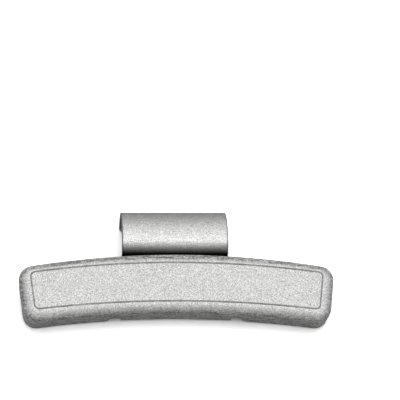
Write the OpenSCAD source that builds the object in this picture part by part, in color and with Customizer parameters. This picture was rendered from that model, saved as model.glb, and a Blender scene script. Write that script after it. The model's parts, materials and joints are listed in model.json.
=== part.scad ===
// Clip-on wheel balance weight: a curved die-cast bar with a spring-steel rim clip staked to its back.
// Lengths are in millimetres and angles in degrees. In the weight's own axes X runs along the rim,
// Y points away from the hub and Z out of the bar's face, and Z is 0 on the two seating pads.
// The finished weight is then leaned back on its clip, the way it lies when it is put down.

/* [Bar] */
// Overall length of the bar, end to end
length = 74; // [55:1:110]
// Height of the bar at its middle, from hub side to rim side
height = 14.3; // [12.5:0.1:17]
// Thickness from the seating pads to the face
thickness = 8.8; // [7.5:0.1:12]
// Radius of the long edge on the rim side
rim_side_r = 207; // [150:1:300]
// Radius of the long edge on the hub side
hub_side_r = 241; // [180:1:320]
// How far each end leans from square
end_lean = 6.5; // [0:0.5:9]
// Corner radius of the bar seen from the face
corner_r = 3.4; // [2.8:0.1:4.4]
// Radius of the shoulder between face and sides
shoulder_r = 2.2; // [1.4:0.1:2.6]
// Draft of the sides, which narrow towards the back
draft = 2.5; // [0:0.5:5]
// Radius of the edge round each seating pad
pad_edge_r = 0.8; // [0.4:0.1:1.2]

/* [Face panel] */
// Width of the flat land between the shoulder and the line round the panel
panel_land = 0.25; // [0.25:0.05:1]
// How much wider that land is at the bar's ends
end_land = 0.35; // [0:0.05:0.6]
// Corner radius of the panel line
panel_corner_r = 1.1; // [0.6:0.1:2]
// Radius of the panel line on the rim side
panel_rim_r = 238; // [180:1:320]
// Radius of the panel line on the hub side
panel_hub_r = 269; // [200:1:340]
// Width of the panel line
line_w = 0.36; // [0.2:0.02:0.4]
// Depth of the panel line
line_depth = 0.18; // [0.05:0.01:0.25]

/* [Clip pocket] */
// Width of the pocket floor left free at each end of the platform
valley_w = 0.9; // [0.4:0.1:2]
// Depth of the pocket below the seating pads
valley_depth = 2.6; // [2.2:0.1:3.2]
// Length of the ramp from the pocket floor up to each pad
ramp_len = 3.2; // [2:0.1:5]
// Radius of the rounded corners on the inner end of each pad
nose_r = 5; // [3:0.1:5.5]
// How far those corners' circles reach past the bar's sides
nose_reach = 0.8; // [0.5:0.1:1.5]
// How far the platform reaches past each end of the clip's leaf
platform_margin = 0.6; // [0.2:0.1:2]
// Edge radius of the platform
platform_edge_r = 0.5; // [0.2:0.1:0.7]
// Radius of the platform's rim-side edge, which the clip bends round
heel_r = 1; // [0.6:0.1:1.4]
// Width of the ledge beside the clip's leaf
ledge_w = 2.1; // [1.2:0.1:3]
// Depth of the ledge below the seating pads
ledge_depth = 0.6; // [0.6:0.1:1.3]

/* [Clip] */
// Width of the clip along the rim
clip_w = 25; // [20:0.5:32]
// Thickness of the spring-steel strip
strip_t = 1.1; // [0.8:0.05:1.3]
// Depth of the leaf's outer side below the seating pads
leaf_inset = 0.6; // [0.3:0.05:0.8]
// Gap between the ledge and the leaf's edge
ledge_gap = 0.3; // [0.1:0.05:0.6]
// Corner radius of the strip
strip_corner_r = 0.8; // [0.3:0.1:1.5]
// Inner radius of the two bends behind the bar
bend_r = 1; // [0.7:0.1:1.5]
// Slope of the strip between the two bends
bend_angle = 57; // [57:1:75]
// How far the strip steps forward between leaf and front wall
step_rise = 4; // [3.2:0.1:5]
// Gap between the bar's rim-side edge and the strip
bar_gap = 0.6; // [0.3:0.05:1]
// Outer radius of the curved front wall
wall_r = 9.4; // [8:0.1:14]
// Angle through which the front wall curves
wall_wrap = 62; // [45:1:70]
// Outer radius of the hook, from its top round to its tip
hook_r = 4.2; // [3.6:0.1:5.5]
// How far the hook curls back past square
hook_wrap = 78; // [65:1:85]

/* [Staked pegs] */
// Diameter of each cast peg
peg_d = 4; // [3:0.1:4.6]
// Diameter of the staked head, flush with the leaf
head_d = 5; // [4.7:0.1:6]
// Distance between the two pegs
peg_pitch = 16.5; // [12:0.1:18]
// Distance of the pegs from the hub side
peg_y = 7; // [6:0.1:8.5]
// Gap between a peg and its hole in the clip
peg_gap = 0.04; // [0.02:0.01:0.1]

/* [Hidden] */
$fn = 96;
overlap = 1;
round_lift = 0.03;
long_steps = 24;
corner_steps = 9;
edge_steps = 4;

// Shoulder and side levels of the bar
side_z = thickness - shoulder_r;
rim_centre_y = height - rim_side_r;

// Distance from the bar's outline to the panel line
panel_border = shoulder_r + panel_land;

// Levels and lengths in the clip pocket
platform_z = leaf_inset + strip_t;
platform_half = clip_w / 2 + platform_margin;
pocket_half = platform_half + valley_w;
nose_half = pocket_half + nose_r;

// Strip centre lines, from the leaf through both bends to the hook
leaf_y = ledge_w + ledge_gap;
bend_start = height + bar_gap - bend_r * sin(bend_angle);
bend_line_r = bend_r + strip_t / 2;
slope_len = (step_rise - 2 * bend_line_r * (1 - cos(bend_angle))) / sin(bend_angle);
wall_start = bend_start + 2 * bend_line_r * sin(bend_angle) + slope_len * cos(bend_angle);
wall_z = platform_z + step_rise;
hook_y = wall_start + (wall_r - hook_r) * sin(wall_wrap);
hook_z = wall_z - wall_r + (wall_r - hook_r) * cos(wall_wrap);

// Lowest corners of the bar's outline
end_dir = [sin(end_lean), cos(end_lean)];
bar_corner = hub_corner(length / 2, height, 0, rim_side_r, hub_side_r, corner_r);

// The lean at rest, on the pads' hub-side edges and the outer corner of the hook's tip
foot = [bar_corner[1] - corner_r - edge_inset(pad_edge_r, 0), pad_edge_r];
tip = [hook_y + hook_r * cos(hook_wrap), hook_z - hook_r * sin(hook_wrap)];
span = tip - foot;
rest_lean = asin(-pad_edge_r / norm(span)) - atan2(span[1], span[0]);
rest_down = pad_edge_r - foot[0] * sin(rest_lean) - foot[1] * cos(rest_lean);
front_y = (bar_corner[1] - corner_r + shoulder_r) * cos(rest_lean) - side_z * sin(rest_lean) - shoulder_r;
back_y = hook_y * cos(rest_lean) - hook_z * sin(rest_lean) + hook_r;

// Centre of an outline's upper end corner
function rim_corner(half, top, rim_r, corner) =
    [half - corner, top - rim_r + sqrt(pow(rim_r - corner, 2) - pow(half - corner, 2))];

// Centre of an outline's lower end corner, where the leaning end meets the hub-side edge
function hub_corner(half, top, bottom, rim_r, hub_r, corner) =
    let (
        start = rim_corner(half, top, rim_r, corner),
        to_start = start - [0, bottom - hub_r],
        along = to_start * end_dir
    )
    start - end_dir * (along - sqrt(pow(along, 2) - to_start * to_start + pow(hub_r + corner, 2)));

// How far inside the bar's drafted side an edge of this radius has its centre, at a face of this level
function edge_inset(r, level) =
    -shoulder_r + (shoulder_r - r) / cos(draft) - tan(draft) * (side_z - level - r);

// Points of an arc, both ends included
function arc(centre, r, from, to, steps) =
    [for (i = [0 : steps]) let (a = from + (to - from) * i / steps) centre + r * [cos(a), sin(a)]];

// Closed outline of a curved bar with leaning ends and rounded corners, anticlockwise
function bar_outline(half, top, bottom, rim_r, hub_r, corner) =
    let (
        upper = rim_corner(half, top, rim_r, corner),
        lower = hub_corner(half, top, bottom, rim_r, hub_r, corner),
        rim_half = asin(upper[0] / (rim_r - corner)),
        hub_half = asin(lower[0] / (hub_r + corner)),
        trim = 1 / long_steps,
        right = concat(
            arc(lower, corner, -90 - hub_half, -end_lean, corner_steps),
            arc(upper, corner, -end_lean, 90 - rim_half, corner_steps)
        ),
        left = [for (i = [len(right) - 1 : -1 : 0]) [-right[i][0], right[i][1]]],
        rim_side = arc([0, top - rim_r], rim_r, 90 - rim_half * (1 - trim), 90 + rim_half * (1 - trim),
            long_steps - 2),
        hub_side = arc([0, bottom - hub_r], hub_r, 90 + hub_half * (1 - trim), 90 - hub_half * (1 - trim),
            long_steps - 2)
    )
    concat(right, rim_side, left, hub_side);

// Steps of the bar's edge section, as distance in from the outline and level, from the pads to the panel
function pad_edge_steps() =
    let (inset = -edge_inset(pad_edge_r, 0))
    [for (i = [0 : edge_steps]) let (a = 90 - (90 - draft) * i / edge_steps)
        [inset - pad_edge_r * cos(a), pad_edge_r * (1 - sin(a))]];
function shoulder_steps() =
    [for (i = [0 : 2 * edge_steps]) let (a = -draft + (90 + draft) * i / (2 * edge_steps))
        [shoulder_r * (1 - cos(a)), side_z + shoulder_r * sin(a)]];
function panel_line_steps() = [
    [panel_border - line_w / 2, thickness],
    [panel_border, thickness - line_depth],
    [panel_border + line_w / 2, thickness]
];

// Bar without its clip pocket, lofted from the outline of its sides to the line round its panel
module plain_bar() {
    sides = bar_outline(length / 2, height, 0, rim_side_r, hub_side_r, corner_r);
    panel = bar_outline(length / 2 - panel_border - end_land, height - panel_border, panel_border,
        panel_rim_r, panel_hub_r, panel_corner_r);
    steps = concat(pad_edge_steps(), shoulder_steps(), panel_line_steps());
    round = len(sides);
    points = [for (step = steps, i = [0 : round - 1])
        let (at = sides[i] + (panel[i] - sides[i]) * step[0] / panel_border) [at[0], at[1], step[1]]];
    walls = [for (level = [0 : len(steps) - 2], i = [0 : round - 1])
        let (
            low = level * round + i,
            low_next = level * round + (i + 1) % round,
            high = low + round,
            high_next = low_next + round
        )
        each [[low, high, high_next], [low, high_next, low_next]]];
    back = [for (i = [0 : round - 1]) i];
    face = [for (i = [round - 1 : -1 : 0]) (len(steps) - 1) * round + i];
    polyhedron(points, concat(walls, [back, face]));
}

// What is left outside a rounded edge, in the bar's section plane. A rounding's circle stands a little
// proud of the face beside it, here and on the strip's corners, so that the two meet at a clear angle.
module edge_waste(r, level) {
    inset = edge_inset(r, level) + round_lift;
    difference() {
        translate([inset, level - overlap]) square([r + overlap, r + overlap - r * sin(draft)]);
        translate([inset, level + r]) circle(r);
    }
}

// Extrudes a profile drawn along the bar and up, right across the bar's height
module across_bar() {
    translate([0, height + overlap, 0]) rotate([90, 0, 0]) linear_extrude(height + 6 * overlap) children();
}

// Inner end of a seating pad: a ramp with two large rounded corners
module pad_nose() {
    top_x = pocket_half + ramp_len;
    corner_x = pocket_half + nose_r;
    hub_y = sqrt(pow(hub_side_r, 2) - pow(corner_x, 2)) - hub_side_r + nose_r - nose_reach;
    rim_y = sqrt(pow(rim_side_r, 2) - pow(corner_x, 2)) + rim_centre_y - nose_r + nose_reach;
    intersection() {
        across_bar() polygon([
            [pocket_half, valley_depth + overlap],
            [pocket_half, valley_depth],
            [top_x, 0],
            [top_x, -overlap],
            [nose_half + overlap, -overlap],
            [nose_half + overlap, valley_depth + overlap]
        ]);
        translate([0, 0, -2 * overlap]) linear_extrude(valley_depth + 4 * overlap) {
            translate([corner_x, hub_y]) circle(nose_r);
            translate([corner_x, rim_y]) circle(nose_r);
            translate([pocket_half, hub_y]) square([nose_r, rim_y - hub_y]);
            translate([corner_x, -4 * overlap]) square([2 * overlap, height + 6 * overlap]);
        }
    }
}

// Rounded end profile of a raised block of the pocket, from its level up into the bar
module block_profile(level) {
    translate([-platform_half, level + platform_edge_r])
        square([2 * platform_half, valley_depth + overlap - level - platform_edge_r]);
    translate([-platform_half + platform_edge_r, level])
        square([2 * (platform_half - platform_edge_r), platform_edge_r]);
    for (side = [-1, 1])
        translate([side * (platform_half - platform_edge_r), level + platform_edge_r]) circle(platform_edge_r);
}

// Hollow in the bar's back that takes the clip, with its platform, ledge and pad noses left standing
module clip_pocket() {
    difference() {
        across_bar() translate([-nose_half, -overlap]) square([2 * nose_half, valley_depth + overlap]);
        across_bar() block_profile(platform_z);
        intersection() {
            across_bar() block_profile(ledge_depth);
            translate([-nose_half, ledge_w - height, 0]) cube([2 * nose_half, height, thickness]);
        }
        for (side = [0, 1]) mirror([side, 0, 0]) pad_nose();
    }
}

// Roundings along the platform's rim-side edge and along the ledge
module pocket_edge_waste() {
    rim_half = asin(platform_half / rim_side_r);
    hub_half = asin(platform_half / hub_side_r);
    translate([0, rim_centre_y])
        rotate_extrude(angle = 2 * rim_half, start = 90 - rim_half)
            translate([rim_side_r, 0]) edge_waste(heel_r, platform_z);
    translate([0, -hub_side_r])
        rotate_extrude(angle = 2 * hub_half, start = 90 - hub_half)
            translate([hub_side_r, 0]) mirror([1, 0]) edge_waste(platform_edge_r, ledge_depth);
}

// Peg that is cast on the platform and staked flush into the clip's countersunk hole
module pegs(gap, start, end) {
    head_h = (head_d - peg_d) / 2;
    for (side = [-1, 1]) translate([side * peg_pitch / 2, peg_y, 0]) {
        translate([0, 0, start]) cylinder(h = end - start, d = peg_d + 2 * gap);
        translate([0, 0, start])
            cylinder(h = leaf_inset + head_h - start, d1 = head_d + 2 * (gap + leaf_inset - start),
                d2 = peg_d + 2 * gap);
    }
}

module cast_weight() {
    color([0.72, 0.72, 0.71]) {
        difference() {
            plain_bar();
            clip_pocket();
            pocket_edge_waste();
        }
        pegs(0, leaf_inset, platform_z + overlap);
    }
}

// Straight stretch of the strip, seen from its side, with what follows it as children
module straight(stretch) {
    translate([0, -strip_t / 2]) square([stretch, strip_t]);
    translate([stretch, 0]) children();
}

// Bend of the strip, seen from its side: it turns up, or down where the angle is below 0
module turn(angle, inner_r) {
    line_r = inner_r + strip_t / 2;
    reach = inner_r + 2 * strip_t;
    side = angle < 0 ? 1 : 0;
    mirror([0, side]) translate([0, line_r]) {
        intersection() {
            difference() {
                circle(inner_r + strip_t);
                circle(inner_r);
            }
            translate([0, -reach]) square([reach, 2 * reach]);
            rotate(abs(angle)) translate([-reach, -reach]) square([reach, 2 * reach]);
        }
        rotate(abs(angle)) translate([0, -line_r]) mirror([0, side]) children();
    }
}

// Side view of the bent strip, with Y to the right and Z up: leaf, step, front wall and hook
module strip_profile() {
    translate([leaf_y, leaf_inset + strip_t / 2])
        straight(bend_start - leaf_y)
        turn(bend_angle, bend_r)
        straight(slope_len)
        turn(-bend_angle, bend_r)
        turn(-wall_wrap, wall_r - strip_t)
        turn(wall_wrap - 90 - hook_wrap, hook_r - strip_t);
}

// What is cut away to round one corner of the strip, through its thickness
module corner_waste() {
    linear_extrude(4 * strip_t, center = true) difference() {
        square(strip_corner_r + overlap);
        translate([round_lift, round_lift]) circle(strip_corner_r);
    }
}

module spring_clip() {
    color([0.62, 0.62, 0.61]) difference() {
        rotate([90, 0, 90]) linear_extrude(clip_w, center = true) strip_profile();
        pegs(peg_gap, leaf_inset - overlap, platform_z + overlap);
        for (side = [0, 1]) mirror([side, 0, 0]) {
            translate([clip_w / 2 - strip_corner_r, leaf_y + strip_corner_r, leaf_inset + strip_t / 2])
                rotate([180, 0, 0]) corner_waste();
            translate([clip_w / 2 - strip_corner_r, hook_y, hook_z])
                rotate([-hook_wrap, 0, 0]) translate([0, hook_r - strip_t / 2, strip_corner_r])
                    rotate([-90, 0, 0]) corner_waste();
        }
    }
}

// Leans a piece back on the clip, and sets the middle of the weight's footprint over the origin
module at_rest() {
    translate([0, -(front_y + back_y) / 2, rest_down]) rotate([rest_lean, 0, 0]) children();
}

at_rest() cast_weight();
at_rest() spring_clip();
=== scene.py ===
"""The looks of a clip-on wheel balance weight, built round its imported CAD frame.

The casting is the CAD node's own shape, remeshed finely and given its cast relief. The clip is cut
flat and bent, as the real one is, from the same sizes as its CAD node, with a rounder crest. Work is
done in the weight's own axes, in millimetres: X along the rim, Y away from the hub, and Z out of the
face, with Z 0 on the pads.
"""
import json
import math

import bmesh
import bpy
import numpy as np
from mathutils import Matrix, Vector
from mathutils.geometry import delaunay_2d_cdt
from mathutils.kdtree import KDTree


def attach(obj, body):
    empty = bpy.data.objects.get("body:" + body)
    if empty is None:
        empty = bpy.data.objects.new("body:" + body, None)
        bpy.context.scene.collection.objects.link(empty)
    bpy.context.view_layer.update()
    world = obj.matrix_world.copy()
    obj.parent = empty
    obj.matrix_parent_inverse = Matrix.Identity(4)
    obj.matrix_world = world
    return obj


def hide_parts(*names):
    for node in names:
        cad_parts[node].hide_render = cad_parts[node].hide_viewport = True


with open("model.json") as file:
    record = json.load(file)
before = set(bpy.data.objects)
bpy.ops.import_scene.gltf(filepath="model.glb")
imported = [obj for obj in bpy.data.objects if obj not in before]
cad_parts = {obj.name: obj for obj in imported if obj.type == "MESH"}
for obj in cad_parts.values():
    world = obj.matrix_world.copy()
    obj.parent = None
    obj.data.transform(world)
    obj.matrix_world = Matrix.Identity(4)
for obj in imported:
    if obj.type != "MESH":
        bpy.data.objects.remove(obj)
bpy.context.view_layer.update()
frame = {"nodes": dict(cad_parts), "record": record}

MM = 0.001

# The casting's sizes in millimetres, as its CAD node has them
THICKNESS = 8.8
BAR_HEIGHT = 14.3
LINE_DEPTH = 0.18
LINE_W = 0.36

# The clip's driving sizes in millimetres and degrees, as its CAD node has them
STRIP_T = 1.1
CLIP_W = 25.0
LEAF_Y = 2.4
LEAF_INSET = 0.6
BEND_R = 1.0
STEP_RISE = 4.0
WALL_START = 18.342
WALL_R = 9.4
WALL_WRAP = 62.0
HOOK_R = 4.2
HOOK_WRAP = 78.0
CORNER_R = 0.8
PEG_PITCH = 16.5
PEG_Y = 7.0
HOLE_R = 2.04
SINK_R = 2.54

# The strip's finer shape: the slope between the bends, a rounder crest above it, and rounded edges
SLOPE_ANGLE = 66.0
CREST_R = 2.9
EDGE_R = 0.28

# The casting's mesh: its voxel in millimetres, its number of triangles and its rounds of smoothing
CAST_VOXEL = 0.1
CAST_FACES = 170_000
SMOOTH_ROUNDS = 12

# How near, in millimetres, counts as one point, as in a plane and as in the panel line's bottom, and
# the step between points along that line
MERGE_GAP = 0.0005
PLANE_GAP = 0.003
LINE_GAP = 0.0015
FILL_GAP = 1e-6
LINE_STEP = 0.05

# The clip's mesh, in millimetres and degrees: its steps, and how far its grid stays from the rings
SHEET_STEP = 0.3
BEND_STEP = 0.14
TIGHT_BEND = 2 * STRIP_T
CORNER_STEPS = 8
EDGE_TURNS = (0, 30, 60, 90)
HOLE_TURN = 6
HOLE_RING = 0.1
EDGE_MARGIN = 1.4 * EDGE_R
HOLE_MARGIN = 0.2
SHEET_GAP = 1e-5

# In millimetres: how far from its middle the panel line is looked for, how far from there it is set
# exactly, and the width of the change
LINE_FAR = 1.0
LINE_REACH = 0.3
LINE_BLEND = 0.06

# Relief, in millimetres: how far it lies under the plain shape, and layers of height, size and seed
CAST_SINK = 0.04
CAST_RELIEF = [(0.012, 5.5, 11), (0.007, 2.3, 12), (0.006, 1.05, 13), (0.004, 0.55, 14)]
SIDE_STREAKS = [(0.014, (6.0, 0.8, 0.8), 15), (0.008, (2.5, 0.45, 0.45), 18)]
DENT_NOISE = (1.7, 16)
DENT_LEVEL = 0.66
DENT_DEPTH = 0.1
SHEET_SINK = 0.012
SHEET_RELIEF = [(0.010, 3.1, 22), (0.006, 1.2, 23)]
SHEET_FLAT_EDGE = 0.3

# Marks on the casting: how far a full edge or hollow stands off the smoothed shape, how far past its
# own width the painted shade in the panel line reaches, and how much painted shade, streaked like
# dirt, each facing of the surface gets
BULGE_ROUNDS = 30
FULL_BULGE = 0.05
LINE_DARK = 1.2
SHADE_AND_DIRT_SIDES = 1.35
SHADE_AND_DIRT_RIM_SIDE = 2.2
SHADE_AND_DIRT_ENDS = 0.8
SHADE_AND_DIRT_HUB_CORNERS = 1.5

# Marks on the clip, in millimetres: worn edges, and painted shade on the cut sides, in the step and on
# the hook
WORN_EDGE = 0.1
WORN_FADE = 0.35
WORN_HOLE_GAP = 0.12
CUT_EDGE = 0.3
CUT_FADE = 0.14
STEP_SHADE_REACH = 4.8
HOOK_SHADE_FADE = 6.0

# Patches where a mark is weak: how weak, their size in millimetres and their seed
PATCH_LEVEL = 0.8
LINE_PATCHES = (0.5, 1.6, 17)
WORN_PATCHES = (0.7, 1.3, 21)

# Noises of the finishes: scale per metre, the same all round or along X, Y and Z, detail and roughness
ZINC_SAND = (4000, 3.0, 0.7)
ZINC_CLOUDS = (420, 3.0, 0.6)
ZINC_STREAKS = ((250, 1700, 1700), 2.0, 0.65)
ZINC_GRIME = ((1900, 2400, 2400), 1.0, 0.7)
ZINC_PITS = (2100, 1.0, 0.55)
STEEL_SAND = (4600, 3.0, 0.75)
STEEL_MARKS = ((600, 2300, 2300), 4.0, 0.65)

# The zinc's greys and the factors on them: the span of each noise or mark, and what its ends give
ZINC_PLAIN_GREY = ((0.32, 0.68), (0.28, 0.99))
# Painted shade, streaked like dirt, that the sides, ends and rim side take
ZINC_SHADED_DIRTY_GREY = ((0.38, 0.62), (0.46, 0.22))
ZINC_BY_CLOUDS = ((0.3, 0.7), (0.95, 1.04))
ZINC_BY_GRIME = ((0.34, 0.66), (0.45, 1.5))
ZINC_BY_PITS = ((0.28, 0.36), (0.72, 1.0))
# Painted shade in hollows
ZINC_BY_HOLLOW = ((0.1, 1.0), (1.0, 0.7))
# Painted shade in the panel line's groove
ZINC_BY_LINE = ((0.0, 1.0), (1.0, 0.55))
ZINC_BY_EDGE = ((0.2, 1.0), (1.0, 1.1))
ZINC_ROUGHNESS = ((0.3, 0.7), (0.62, 0.46))
ZINC_METALLIC = 0.1
ZINC_SPECULAR = 0.3
ZINC_BUMP = (0.5, 0.00006)
STREAK_BUMP = 0.8

# The same for the steel, with what wear adds to its grey and takes off its roughness
STEEL_GREY = ((0.34, 0.66), (0.36, 0.92))
STEEL_BY_MARKS = ((0.36, 0.64), (0.88, 1.07))
# Painted shade: darker deep in the step, towards the hook and on the cut sides
STEEL_BY_STEP_SHADE = ((0.05, 0.65), (1.0, 0.01))
STEEL_BY_HOOK_SHADE = ((0.0, 1.0), (1.0, 0.38))
STEEL_BY_CUT_SHADE = ((0.0, 1.0), (1.0, 0.22))
STEEL_WORN_PALER = ((0.3, 1.0), (0.0, 0.4))
STEEL_WORN_SMOOTHER = ((0.3, 1.0), (0.0, 0.1))
STEEL_ROUGHNESS = ((0.3, 0.7), (0.58, 0.46))
STEEL_METALLIC = 0.6
STEEL_SPECULAR = 0.1
STEEL_TINT = (0.6, 0.6, 0.6, 1)
STEEL_BUMP = (0.4, 0.00005)

# The palest grey of both metals, and their faint warmth as red, green and blue
PALEST = 0.95
WARMTH = (1.0, 1.0, 0.982)

# Camera: its place round the weight and its aim in degrees and metres, its lens in millimetres
CAMERA_AZIMUTH = -9.288
CAMERA_ELEVATION = 59.144
CAMERA_ROLL = 8.150
CAMERA_DISTANCE = 1.0
CAMERA_LENS = 382.74
CAMERA_SENSOR = 36.0
CAMERA_RANGE = (0.01, 10.0)
CAMERA_AIM = (0.005856, 0.015610)
AIM_HEIGHT = 0.006

# The floor is whiter to the camera than in reflections, and lights the weight from below only a little
FLOOR_RADIUS = 1.5
FLOOR_SIDES = 64
FLOOR_SEEN = 1.7
FLOOR_GLOW = 0.02
FLOOR_MIRRORED = 0.95
FLOOR_BOUNCE = 0.25

# The sky: an even part, and soft lobes as azimuth, elevation and strength
SKY_EVEN = 0.12
SKY_SHARPNESS = 12.0
SKY_LOBES = [(0, 90, 3.0), (0, 62, 0.8), (60, 62, 0.7), (120, 62, 0.3), (180, 62, 0.4),
             (180, 35, 0.8), (240, 62, 0.2), (300, 62, 0.4)]

# The noise repeats after so many blobs
NOISE_CELLS = 32


def own_axes():
    """The matrix that takes the weight's own axes, in millimetres, to the frame's, in metres."""
    pad = next(m for m in frame["record"]["mounts"] if m["name"] == "rim_pad_left")
    turn = Matrix.Rotation(math.asin(pad["axis"][1]), 4, "X")
    back = turn.inverted()
    level = (back @ Vector(pad["pos_m"])).z
    cast = frame["nodes"]["cast_weight"].data
    hub_edge = min((back @ v.co).y for v in cast.vertices if abs(v.co.x) < 2 * MM)
    return turn @ Matrix.Translation((0, hub_edge, level)) @ Matrix.Scale(MM, 4)


OWN = own_axes()


def grid_noise(points, size, seed):
    """Smooth noise at the points, with blobs about size millimetres across, between -1 and 1."""
    table = np.random.default_rng(seed).uniform(-1, 1, (NOISE_CELLS,) * 3)
    scaled = points / np.asarray(size)
    base = np.floor(scaled).astype(int)
    part = scaled - base
    part = part * part * (3 - 2 * part)
    total = np.zeros(len(points))
    for corner in np.ndindex(2, 2, 2):
        weight = np.prod(np.where(corner, part, 1 - part), axis=1)
        at = (base + corner) % NOISE_CELLS
        total += weight * table[at[:, 0], at[:, 1], at[:, 2]]
    return total


def relief(points, layers):
    """The sum of layers of noise, each given as its height, its size and its seed."""
    return sum(height * grid_noise(points, size, seed) for height, size, seed in layers)


def patches(points, strength, size, seed):
    """Nearly 1 in most places and less in patches, to break up a mark."""
    return np.clip(PATCH_LEVEL + strength * grid_noise(points, size, seed), 0, 1)


def mesh_object(name, mesh):
    piece = bpy.data.objects.new(name, mesh)
    bpy.context.scene.collection.objects.link(piece)
    return piece


def baked(piece):
    """The piece's mesh with its modifiers applied."""
    graph = bpy.context.evaluated_depsgraph_get()
    mesh = bpy.data.meshes.new_from_object(piece.evaluated_get(graph), depsgraph=graph)
    piece.modifiers.clear()
    piece.data = mesh
    return mesh


def positions(mesh):
    points = np.empty(len(mesh.vertices) * 3)
    mesh.vertices.foreach_get("co", points)
    return points.reshape(-1, 3)


def set_positions(mesh, points):
    mesh.vertices.foreach_set("co", points.ravel())
    mesh.update()


def vertex_normals(mesh):
    normals = np.empty(len(mesh.vertices) * 3)
    mesh.vertex_normals.foreach_get("vector", normals)
    return normals.reshape(-1, 3)


def set_values(mesh, name, values):
    """Stores one number a point under a name that the materials read."""
    layer = mesh.attributes.new(name, "FLOAT", "POINT")
    layer.data.foreach_set("value", np.ascontiguousarray(values, dtype=np.float32))


def smoothed(mesh, points, rounds):
    """Moves each point half way to the middle of its neighbours, so many rounds."""
    ends = np.empty(len(mesh.edges) * 2, dtype=np.int32)
    mesh.edges.foreach_get("vertices", ends)
    one, other = ends[0::2], ends[1::2]
    count = len(points)
    around = np.bincount(ends, minlength=count)
    for _ in range(rounds):
        total = np.stack([
            np.bincount(one, points[other, axis], count)
            + np.bincount(other, points[one, axis], count)
            for axis in range(3)
        ], axis=1)
        points = points + (total / around[:, None] - points) / 2
    return points


def refill(bm, level, turned):
    """Fills a flat face of the casting afresh, because the frame's triangles of it overlap."""
    flat = {f for f in bm.faces if all(abs(v.co.z - level) < PLANE_GAP for v in f.verts)}
    rim = [e for e in bm.edges if sum(f in flat for f in e.link_faces) == 1]
    corners = list(dict.fromkeys(v for e in rim for v in e.verts))
    number = {v: i for i, v in enumerate(corners)}
    edges = [(number[e.verts[0]], number[e.verts[1]]) for e in rim]
    start = np.array([e.verts[0].co.xy for e in rim])
    end = np.array([e.verts[1].co.xy for e in rim])
    flat_corners = [v.co.xy for v in corners]
    _, _, faces, sources, _, _ = delaunay_2d_cdt(flat_corners, edges, [], 0, FILL_GAP)
    bmesh.ops.delete(bm, geom=list(flat), context="FACES")
    for face in faces:
        loop = [corners[sources[i][0]] for i in face]
        middle = np.mean([v.co.xy for v in loop], axis=0)
        spans = (start[:, 1] > middle[1]) != (end[:, 1] > middle[1])
        one, other = start[spans], end[spans]
        part = (middle[1] - one[:, 1]) / (other[:, 1] - one[:, 1])
        beyond = one[:, 0] + part * (other[:, 0] - one[:, 0]) > middle[0]
        # A line from the face's middle crosses the rim an odd number of times only from inside it
        if beyond.sum() % 2:
            bm.faces.new(loop[::-1] if turned else loop)


def cad_casting():
    """The casting's mesh in its own axes with sound flat faces, and the points that the frame has."""
    mesh = frame["nodes"]["cast_weight"].data.copy()
    mesh.transform(OWN.inverted())
    cad_points = positions(mesh)
    bm = bmesh.new()
    bm.from_mesh(mesh)
    bmesh.ops.remove_doubles(bm, verts=bm.verts, dist=MERGE_GAP)
    refill(bm, THICKNESS, turned=False)
    refill(bm, 0, turned=True)
    bm.to_mesh(mesh)
    bm.free()
    return mesh, cad_points


def distance_to_line(cad_points, points):
    """How far each point of the face is, seen square on, from the middle of the panel line."""
    bottom = cad_points[np.abs(cad_points[:, 2] - (THICKNESS - LINE_DEPTH)) < LINE_GAP, :2]
    turn = np.arctan2(bottom[:, 1] - BAR_HEIGHT / 2, bottom[:, 0])
    bottom = bottom[np.argsort(turn)]
    dense = []
    for start, end in zip(bottom, np.roll(bottom, -1, axis=0)):
        count = max(1, math.ceil(np.linalg.norm(end - start) / LINE_STEP))
        dense += [start + (end - start) * i / count for i in range(count)]
    tree = KDTree(len(dense))
    for i, p in enumerate(dense):
        tree.insert((*p, 0), i)
    tree.balance()
    found = np.full(len(points), LINE_FAR)
    for i in np.flatnonzero(points[:, 2] > THICKNESS - LINE_FAR):
        found[i] = min(LINE_FAR, tree.find((*points[i, :2], 0))[2])
    return found


def grooved(points, from_line):
    """Sets the face round the panel line to its exact height, with the line's groove in it."""
    groove = LINE_DEPTH * np.clip(1 - 2 * from_line / LINE_W, 0, 1)
    near = np.clip((LINE_REACH - from_line) / LINE_BLEND, 0, 1)
    points[:, 2] += near * (THICKNESS - groove - points[:, 2])
    return points


def mark_casting(mesh, points, normals, from_line):
    """Stores where the casting's edges are and where its painted shade goes, for its material."""
    softer = smoothed(mesh, points, BULGE_ROUNDS)
    bulge = np.sum((points - softer) * normals, axis=1)
    set_values(mesh, "edge", np.clip(bulge / FULL_BULGE, 0, 1))
    set_values(mesh, "hollow", np.clip(-bulge / FULL_BULGE, 0, 1))
    # Painted shade along the panel line, reaching a little past its groove
    in_line = np.clip(LINE_DARK - 2 * from_line / LINE_W, 0, 1)
    set_values(mesh, "line", in_line * patches(points, *LINE_PATCHES))
    # Painted shade by facing, which also carries the streaky dirt: the sides, rim side, ends and
    # hub-side corners
    sideways, outward, rimward = 1 - np.abs(normals[:, 2]), np.abs(normals[:, 0]), normals[:, 1]
    shade_and_dirt = SHADE_AND_DIRT_SIDES * sideways + SHADE_AND_DIRT_RIM_SIDE * np.clip(rimward, 0, 1)
    shade_and_dirt += SHADE_AND_DIRT_ENDS * outward**2 + SHADE_AND_DIRT_HUB_CORNERS * outward * np.clip(-rimward, 0, 1)
    set_values(mesh, "shade_and_dirt", np.clip(shade_and_dirt, 0, 1))


def cast_relief(points, normals, from_line):
    """How far the cast surface stands over its nominal shape at each point, mostly below 0."""
    side = 1 - np.abs(normals[:, 2])
    bumps = relief(points, CAST_RELIEF) + side * relief(points, SIDE_STREAKS)
    dents = np.clip(grid_noise(points, *DENT_NOISE) - DENT_LEVEL, 0, 1)
    return bumps - CAST_SINK - DENT_DEPTH * dents * np.clip(from_line, 0, 1)


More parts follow.
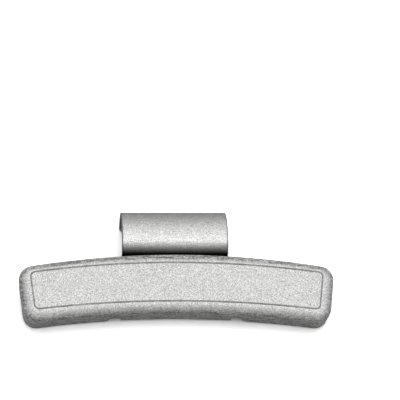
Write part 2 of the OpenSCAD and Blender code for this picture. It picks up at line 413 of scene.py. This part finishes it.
def cast_body():
    """The casting: the node's shape with softened edges and cast relief."""
    mesh, cad_points = cad_casting()
    piece = mesh_object("cast_body", mesh)
    remesh = piece.modifiers.new("fine", "REMESH")
    remesh.mode = "VOXEL"
    remesh.voxel_size = CAST_VOXEL
    mesh = baked(piece)
    points = positions(mesh)
    from_line = distance_to_line(cad_points, points)
    points = grooved(smoothed(mesh, points, SMOOTH_ROUNDS), from_line)
    set_positions(mesh, points)
    normals = vertex_normals(mesh)
    mark_casting(mesh, points, normals, from_line)
    set_positions(mesh, points + normals * cast_relief(points, normals, from_line)[:, None])
    thin = piece.modifiers.new("thin", "DECIMATE")
    triangles = 2 * len(mesh.polygons)
    thin.ratio = min(1, CAST_FACES / triangles)
    mesh = baked(piece)
    mesh.transform(OWN)
    mesh.shade_smooth()
    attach(piece, "root")
    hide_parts("cast_weight")
    return piece


def strip_path():
    """The strip's centre line as stretches: (length, turning radius or None, +1 up or -1 down)."""
    bend_line, crest_line = BEND_R + STRIP_T / 2, CREST_R + STRIP_T / 2
    wall_line, hook_line = WALL_R - STRIP_T / 2, HOOK_R - STRIP_T / 2
    angle = math.radians(SLOPE_ANGLE)
    slope = (STEP_RISE - (bend_line + crest_line) * (1 - math.cos(angle))) / math.sin(angle)
    run = (bend_line + crest_line) * math.sin(angle) + slope * math.cos(angle)
    bend_start = WALL_START - run
    return [
        (bend_start - LEAF_Y, None, 0),
        (bend_line * angle, bend_line, 1),
        (slope, None, 0),
        (crest_line * angle, crest_line, -1),
        (wall_line * math.radians(WALL_WRAP), wall_line, -1),
        (hook_line * math.radians(90 + HOOK_WRAP - WALL_WRAP), hook_line, -1),
    ]


STRETCHES = strip_path()
STRIP_LENGTH = sum(length for length, _, _ in STRETCHES)
HALF_W = CLIP_W / 2
HOLES = [np.array([side * PEG_PITCH / 2, PEG_Y - LEAF_Y]) for side in (-1, 1)]


def bent(points):
    """Takes points of the flat strip (across, along, up) to where the bent strip has them."""
    across, along, up = points.T
    out = np.zeros_like(points)
    place, heading, start = np.array([LEAF_Y, LEAF_INSET + STRIP_T / 2]), 0.0, 0.0
    for number, (length, radius, side) in enumerate(STRETCHES):
        last = number == len(STRETCHES) - 1
        here = (along >= start) & ((along < start + length) | last)
        if number == 0:
            here |= along < start
        gone = along[here] - start
        ahead = np.array([math.cos(heading), math.sin(heading)])
        left = np.array([-ahead[1], ahead[0]])
        if radius is None:
            out[here, 1:] = place + gone[:, None] * ahead + up[here, None] * left
            place = place + length * ahead
        else:
            centre = place + side * radius * left
            angle = side * gone / radius
            normal = np.stack([-np.sin(heading + angle), np.cos(heading + angle)], axis=1)
            out[here, 1:] = centre + (up[here, None] - side * radius) * normal
            heading += side * length / radius
            place = centre - side * radius * np.array([-math.sin(heading), math.cos(heading)])
        start += length
    out[:, 0] = across
    return out


def edge_distance(points):
    """How far points of the flat strip are inside its outline."""
    reach = np.array([HALF_W - CORNER_R, STRIP_LENGTH / 2 - CORNER_R])
    past = np.abs(points - [0, STRIP_LENGTH / 2]) - reach
    outside = np.hypot(*np.maximum(past, 0).T)
    return CORNER_R - outside - np.minimum(past.max(1), 0)


def hole_distance(points):
    """How far points of the flat strip are from the middle of the nearer hole."""
    return np.min([np.hypot(*(points - hole).T) for hole in HOLES], axis=0)


def row_places():
    """Places along the strip for rows of points, closer together in the tight bend."""
    rows, start = [], 0.0
    for length, radius, _ in STRETCHES:
        step = BEND_STEP if radius and radius < TIGHT_BEND else SHEET_STEP
        count = max(1, round(length / step))
        rows += [start + length * i / count for i in range(count)]
        start += length
    return np.array(rows + [start])


def outline(inset, rows, columns):
    """The flat strip's outline, inset by that much, anticlockwise from the near right corner."""
    right, far = HALF_W - CORNER_R, STRIP_LENGTH - CORNER_R
    side_rows = [y for y in rows if CORNER_R < y < far]
    side_columns = [x for x in columns if abs(x) < right]
    corners = [(right, CORNER_R), (right, far), (-right, far), (-right, CORNER_R)]
    sides = [
        [(HALF_W - inset, y) for y in side_rows],
        [(x, STRIP_LENGTH - inset) for x in reversed(side_columns)],
        [(inset - HALF_W, y) for y in reversed(side_rows)],
        [(x, inset) for x in side_columns],
    ]
    loop = []
    for number, (corner, side) in enumerate(zip(corners, sides)):
        angles = np.radians(90 * (number - 1) + 90 * np.arange(CORNER_STEPS + 1) / CORNER_STEPS)
        arc = np.stack([np.cos(angles), np.sin(angles)], axis=1)
        loop += [*(corner + (CORNER_R - inset) * arc), *side]
    return loop


def flat_sheet():
    """The flat strip's points and faces: rings along its edge and holes, and a grid between them."""
    rows = row_places()
    columns = np.linspace(-HALF_W, HALF_W, round(CLIP_W / SHEET_STEP) + 1)
    grid = np.array([(x, y) for y in rows for x in columns])
    clear_of_holes = hole_distance(grid) > SINK_R + HOLE_MARGIN
    inner = grid[(edge_distance(grid) > EDGE_MARGIN) & clear_of_holes]
    insets = [EDGE_R * (1 - math.cos(math.radians(turn))) for turn in EDGE_TURNS]
    around = np.radians(np.arange(0, 360, HOLE_TURN))
    circle = np.stack([np.cos(around), np.sin(around)], axis=1)
    radii = [HOLE_R, (HOLE_R + SINK_R) / 2, SINK_R, SINK_R + HOLE_RING]
    loops = [outline(inset, rows, columns) for inset in insets]
    loops += [hole + circle * radius for hole in HOLES for radius in radii]
    points, edges = [], []
    for loop in loops:
        first = len(points)
        points += [Vector(p) for p in loop]
        edges += [(first + i, first + (i + 1) % len(loop)) for i in range(len(loop))]
    points += [Vector(p) for p in inner]
    flat, _, faces, _, _, _ = delaunay_2d_cdt(points, edges, [], 0, SHEET_GAP)
    flat = np.array([tuple(p) for p in flat])
    middles = np.array([flat[list(face)].mean(0) for face in faces])
    # The circles' straight steps run a little inside their radius
    keep = (hole_distance(middles) > 0.999 * HOLE_R) & (edge_distance(middles) > -FILL_GAP)
    return flat, [face for face, kept in zip(faces, keep) if kept]


def thick_sheet(flat, faces):
    """The flat strip as a closed mesh with rounded edges, its holes countersunk from below."""
    inside = np.clip(EDGE_R - edge_distance(flat), 0, EDGE_R)
    plain = STRIP_T / 2 - EDGE_R + np.sqrt(EDGE_R**2 - inside**2)
    sink = np.clip(SINK_R - hole_distance(flat), 0, SINK_R - HOLE_R)
    sunk = np.minimum(plain, STRIP_T / 2 - sink)
    bm = bmesh.new()
    upper = [bm.verts.new(p) for p in np.column_stack([flat, plain])]
    lower = [bm.verts.new(p) for p in np.column_stack([flat, -sunk])]
    for face in faces:
        bm.faces.new([upper[i] for i in face])
        bm.faces.new([lower[i] for i in reversed(face)])
    below = dict(zip(upper, lower))
    for edge in [e for e in bm.edges if len(e.link_faces) == 1 and e.verts[0] in below]:
        one, other = edge.verts
        order = list(edge.link_faces[0].verts)
        if order[(order.index(one) + 1) % len(order)] != other:
            one, other = other, one
        bm.faces.new([other, one, below[one], below[other]])
    mesh = bpy.data.meshes.new("clip_strip")
    bm.normal_update()
    bm.to_mesh(mesh)
    bm.free()
    return mesh


def mark_clip(mesh, flat, to_edge):
    """Stores where the clip is worn, and its painted shade on cut sides, in the step and on the hook.
    """
    across, along = flat[:, 0], flat[:, 1]
    worn = np.clip(1 - (to_edge - WORN_EDGE) / WORN_FADE, 0, 1)
    set_values(mesh, "worn", worn * patches(flat, *WORN_PATCHES))
    # Painted shade along the cut long sides
    set_values(mesh, "cut", np.clip((CUT_EDGE - HALF_W + np.abs(across)) / CUT_FADE, 0, 1))
    # Painted shade deep in the step, where the strip meets the bar
    step_middle = STRETCHES[0][0] + STRETCHES[1][0] + STRETCHES[2][0] / 2
    set_values(mesh, "deep", np.clip(1 - np.abs(along - step_middle) / STEP_SHADE_REACH, 0, 1))
    # Painted shade towards the hook, where the wall turns away from the light
    hook_start = STRIP_LENGTH - STRETCHES[-1][0]
    set_values(mesh, "hook", np.clip((along - hook_start) / HOOK_SHADE_FADE + 1, 0, 1))


def clip_strip():
    """The clip: a rounded-edge sheet with two countersunk holes, bent along its path."""
    mesh = thick_sheet(*flat_sheet())
    points = positions(mesh)
    to_hole = np.abs(hole_distance(points[:, :2]) - SINK_R) + WORN_HOLE_GAP
    to_edge = np.minimum(edge_distance(points[:, :2]), to_hole)
    mark_clip(mesh, points, to_edge)
    thinner = SHEET_SINK + relief(points, SHEET_RELIEF)
    points[:, 2] -= np.sign(points[:, 2]) * thinner * np.clip(to_edge / SHEET_FLAT_EDGE, 0, 1)
    set_positions(mesh, bent(points))
    mesh.transform(OWN)
    mesh.shade_smooth()
    piece = mesh_object("clip_strip", mesh)
    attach(piece, "root")
    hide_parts("spring_clip")
    return piece


class Nodes:
    """A material's or the world's node tree, with short calls that add and link nodes."""

    def __init__(self, owner):
        owner.use_nodes = True
        self.owner = owner
        self.tree = owner.node_tree

    def add(self, kind, **settings):
        """Adds a node and sets its properties or, with spaces for underscores, its inputs."""
        node = self.tree.nodes.new("ShaderNode" + kind)
        for key, value in settings.items():
            if hasattr(node, key):
                setattr(node, key, value)
            else:
                node.inputs[key.replace("_", " ")].default_value = value
        return node

    def feed(self, node, slot, source):
        """Links a socket to a node's slot, or sets the slot if the source is a number or a tuple."""
        if isinstance(source, bpy.types.NodeSocket):
            self.tree.links.new(source, node.inputs[slot])
        else:
            node.inputs[slot].default_value = source

    def join(self, kind, *sources, **settings):
        """Adds a node, feeds its first slots and gives its first output."""
        node = self.add(kind, **settings)
        for slot, source in enumerate(sources):
            self.feed(node, slot, source)
        return node.outputs[0]

    def math(self, operation, *sources):
        return self.join("Math", *sources, operation=operation)

    def dot(self, source, direction):
        node = self.add("VectorMath", operation="DOT_PRODUCT")
        self.feed(node, 0, source)
        node.inputs[1].default_value = direction
        return node.outputs["Value"]

    def noise(self, place, scale, detail, rough):
        """Noise between 0 and 1, its scale one number or one each for X, Y and Z."""
        if isinstance(scale, tuple):
            mapping = self.add("Mapping")
            self.feed(mapping, "Vector", place)
            mapping.inputs["Scale"].default_value = scale
            place, scale = mapping.outputs["Vector"], 1.0
        node = self.add("TexNoise", Scale=scale, Detail=detail, Roughness=rough)
        self.feed(node, "Vector", place)
        return node.outputs["Fac"]

    def value(self, name):
        """A number that the mesh stores at its points."""
        return self.add("Attribute", attribute_name=name).outputs["Fac"]

    def between(self, fac, span, ends):
        """Goes from the first end to the second as fac goes through its span."""
        return self.join("MapRange", fac, *span, *ends, clamp=True)

    def times(self, grey, fac, span, ends):
        """The grey times what between gives."""
        return self.math("MULTIPLY", grey, self.between(fac, span, ends))

    def blend(self, fac, first, second):
        """Goes from the first number to the second as fac goes from 0 to 1."""
        node = self.add("Mix", data_type="FLOAT")
        for slot, source in zip(("Factor", "A", "B"), (fac, first, second)):
            self.feed(node, slot, source)
        return node.outputs[0]

    def metal_colour(self, shader, grey):
        """Gives the shader a grey number as the metal's faintly warm colour."""
        grey = self.math("MINIMUM", grey, PALEST)
        node = self.add("CombineColor")
        for slot, part in enumerate(WARMTH):
            self.feed(node, slot, self.math("MULTIPLY", grey, part) if part != 1 else grey)
        self.feed(shader, "Base Color", node.outputs["Color"])

    def bump(self, shader, height, strength, distance):
        node = self.add("Bump", Strength=strength, Distance=distance)
        self.feed(node, "Height", height)
        self.feed(shader, "Normal", node.outputs["Normal"])


def zinc():
    """Tumbled zinc: sandy speckle, painted shade streaked like dirt on the sides, ends and rim side,
    painted shade in hollows and in the panel line, and paler worn edges.
    """
    n = Nodes(bpy.data.materials.new("cast_zinc"))
    shader = n.tree.nodes["Principled BSDF"]
    place = n.add("TexCoord").outputs["Object"]
    sand = n.noise(place, *ZINC_SAND)
    clouds = n.noise(place, *ZINC_CLOUDS)
    streaks = n.noise(place, *ZINC_STREAKS)
    grime = n.noise(place, *ZINC_GRIME)
    pits = n.noise(place, *ZINC_PITS)
    shade_and_dirt = n.value("shade_and_dirt")
    plain = n.between(sand, *ZINC_PLAIN_GREY)
    plain = n.times(plain, clouds, *ZINC_BY_CLOUDS)
    shaded_dirty = n.between(streaks, *ZINC_SHADED_DIRTY_GREY)
    shaded_dirty = n.times(shaded_dirty, grime, *ZINC_BY_GRIME)
    # Painted shade, streaked like dirt, on the sides, ends and rim side
    grey = n.blend(shade_and_dirt, plain, shaded_dirty)
    grey = n.times(grey, pits, *ZINC_BY_PITS)
    # Painted shade in the hollows
    grey = n.times(grey, n.value("hollow"), *ZINC_BY_HOLLOW)
    grey = n.times(grey, n.value("line"), *ZINC_BY_LINE)
    grey = n.times(grey, n.value("edge"), *ZINC_BY_EDGE)
    n.metal_colour(shader, grey)
    shader.inputs["Metallic"].default_value = ZINC_METALLIC
    shader.inputs["Specular IOR Level"].default_value = ZINC_SPECULAR
    n.feed(shader, "Roughness", n.between(sand, *ZINC_ROUGHNESS))
    streaked = n.math("MULTIPLY", n.math("MULTIPLY", shade_and_dirt, streaks), STREAK_BUMP)
    n.bump(shader, n.math("ADD", sand, streaked), *ZINC_BUMP)
    return n.owner


def steel():
    """Coated spring steel: fine speckle, faint rolling marks and bright worn edges, and painted shade
    on the cut sides, deep in the step and towards the hook."""
    n = Nodes(bpy.data.materials.new("spring_steel"))
    shader = n.tree.nodes["Principled BSDF"]
    place = n.add("TexCoord").outputs["Object"]
    sand = n.noise(place, *STEEL_SAND)
    marks = n.noise(place, *STEEL_MARKS)
    worn = n.value("worn")
    grey = n.between(sand, *STEEL_GREY)
    grey = n.times(grey, marks, *STEEL_BY_MARKS)
    grey = n.math("ADD", grey, n.between(worn, *STEEL_WORN_PALER))
    # Painted shade deep in the step, towards the hook and on the cut sides
    grey = n.times(grey, n.value("deep"), *STEEL_BY_STEP_SHADE)
    grey = n.times(grey, n.value("hook"), *STEEL_BY_HOOK_SHADE)
    grey = n.times(grey, n.value("cut"), *STEEL_BY_CUT_SHADE)
    n.metal_colour(shader, grey)
    shader.inputs["Metallic"].default_value = STEEL_METALLIC
    shader.inputs["Specular Tint"].default_value = STEEL_TINT
    shader.inputs["Specular IOR Level"].default_value = STEEL_SPECULAR
    rough = n.between(sand, *STEEL_ROUGHNESS)
    smoother = n.between(worn, *STEEL_WORN_SMOOTHER)
    n.feed(shader, "Roughness", n.math("SUBTRACT", rough, smoother))
    n.bump(shader, sand, *STEEL_BUMP)
    return n.owner


def direction(azimuth, elevation):
    """From the weight towards a place round it: azimuth 0 is in front, at -Y, and 90 at +X."""
    around, up = math.radians(azimuth), math.radians(elevation)
    level = math.cos(up)
    return Vector((math.sin(around) * level, -math.cos(around) * level, math.sin(up)))


def camera():
    """The photograph's view: from the front and above, a little rolled."""
    data = bpy.data.cameras.new("camera")
    data.lens = CAMERA_LENS
    data.sensor_width = CAMERA_SENSOR
    data.clip_start, data.clip_end = CAMERA_RANGE
    cam = bpy.data.objects.new("camera", data)
    bpy.context.scene.collection.objects.link(cam)
    back = direction(CAMERA_AZIMUTH, CAMERA_ELEVATION)
    level = Vector((0, 0, 1)).cross(back).normalized()
    right = Matrix.Rotation(math.radians(CAMERA_ROLL), 3, back) @ level
    up = back.cross(right)
    aim = Vector((0, 0, AIM_HEIGHT)) + CAMERA_AIM[0] * right + CAMERA_AIM[1] * up
    axes = Matrix((right, up, back)).transposed().to_4x4()
    cam.matrix_world = Matrix.Translation(aim + CAMERA_DISTANCE * back) @ axes
    bpy.context.scene.camera = cam


def floor():
    """A white floor that keeps the weight's shadow, and that lights it from below only a little."""
    bm = bmesh.new()
    bmesh.ops.create_circle(bm, cap_ends=True, segments=FLOOR_SIDES, radius=FLOOR_RADIUS)
    mesh = bpy.data.meshes.new("floor")
    bm.to_mesh(mesh)
    bm.free()
    piece = mesh_object("floor", mesh)
    n = Nodes(bpy.data.materials.new("floor"))
    n.tree.nodes.clear()
    path = n.add("LightPath").outputs
    mirrored = n.math("MAXIMUM", path["Is Glossy Ray"], path["Is Transmission Ray"])
    lit, white, dim = (n.add("BsdfDiffuse", Color=(grey, grey, grey, 1)).outputs[0]
                       for grey in (FLOOR_SEEN, FLOOR_MIRRORED, FLOOR_BOUNCE))
    glow = n.add("Emission", Color=(1, 1, 1, 1), Strength=FLOOR_GLOW).outputs[0]
    seen = n.join("AddShader", lit, glow)
    other = n.join("MixShader", mirrored, dim, white)
    whole = n.join("MixShader", path["Is Camera Ray"], other, seen)
    n.feed(n.add("OutputMaterial"), "Surface", whole)
    n.owner.cycles.emission_sampling = "NONE"
    mesh.materials.append(n.owner)


def sky():
    """Soft studio light from all round: an even part and a few broad lobes."""
    world = bpy.data.worlds.new("sky")
    bpy.context.scene.world = world
    n = Nodes(world)
    n.tree.nodes.clear()
    toward = n.add("TexCoord").outputs["Generated"]
    total = SKY_EVEN
    for azimuth, elevation, strength in SKY_LOBES:
        off = n.math("SUBTRACT", n.dot(toward, direction(azimuth, elevation)), 1.0)
        lobe = n.math("EXPONENT", n.math("MULTIPLY", off, SKY_SHARPNESS))
        total = n.math("ADD", n.math("MULTIPLY", lobe, strength), total)
    back = n.add("Background", Color=(1, 1, 1, 1))
    n.feed(back, "Strength", total)
    n.feed(n.add("OutputWorld"), "Surface", back.outputs[0])


for piece, material in ((cast_body(), zinc()), (clip_strip(), steel())):
    piece.data.materials.clear()
    piece.data.materials.append(material)
camera()
floor()
sky()
bpy.context.scene.view_settings.view_transform = "Standard"
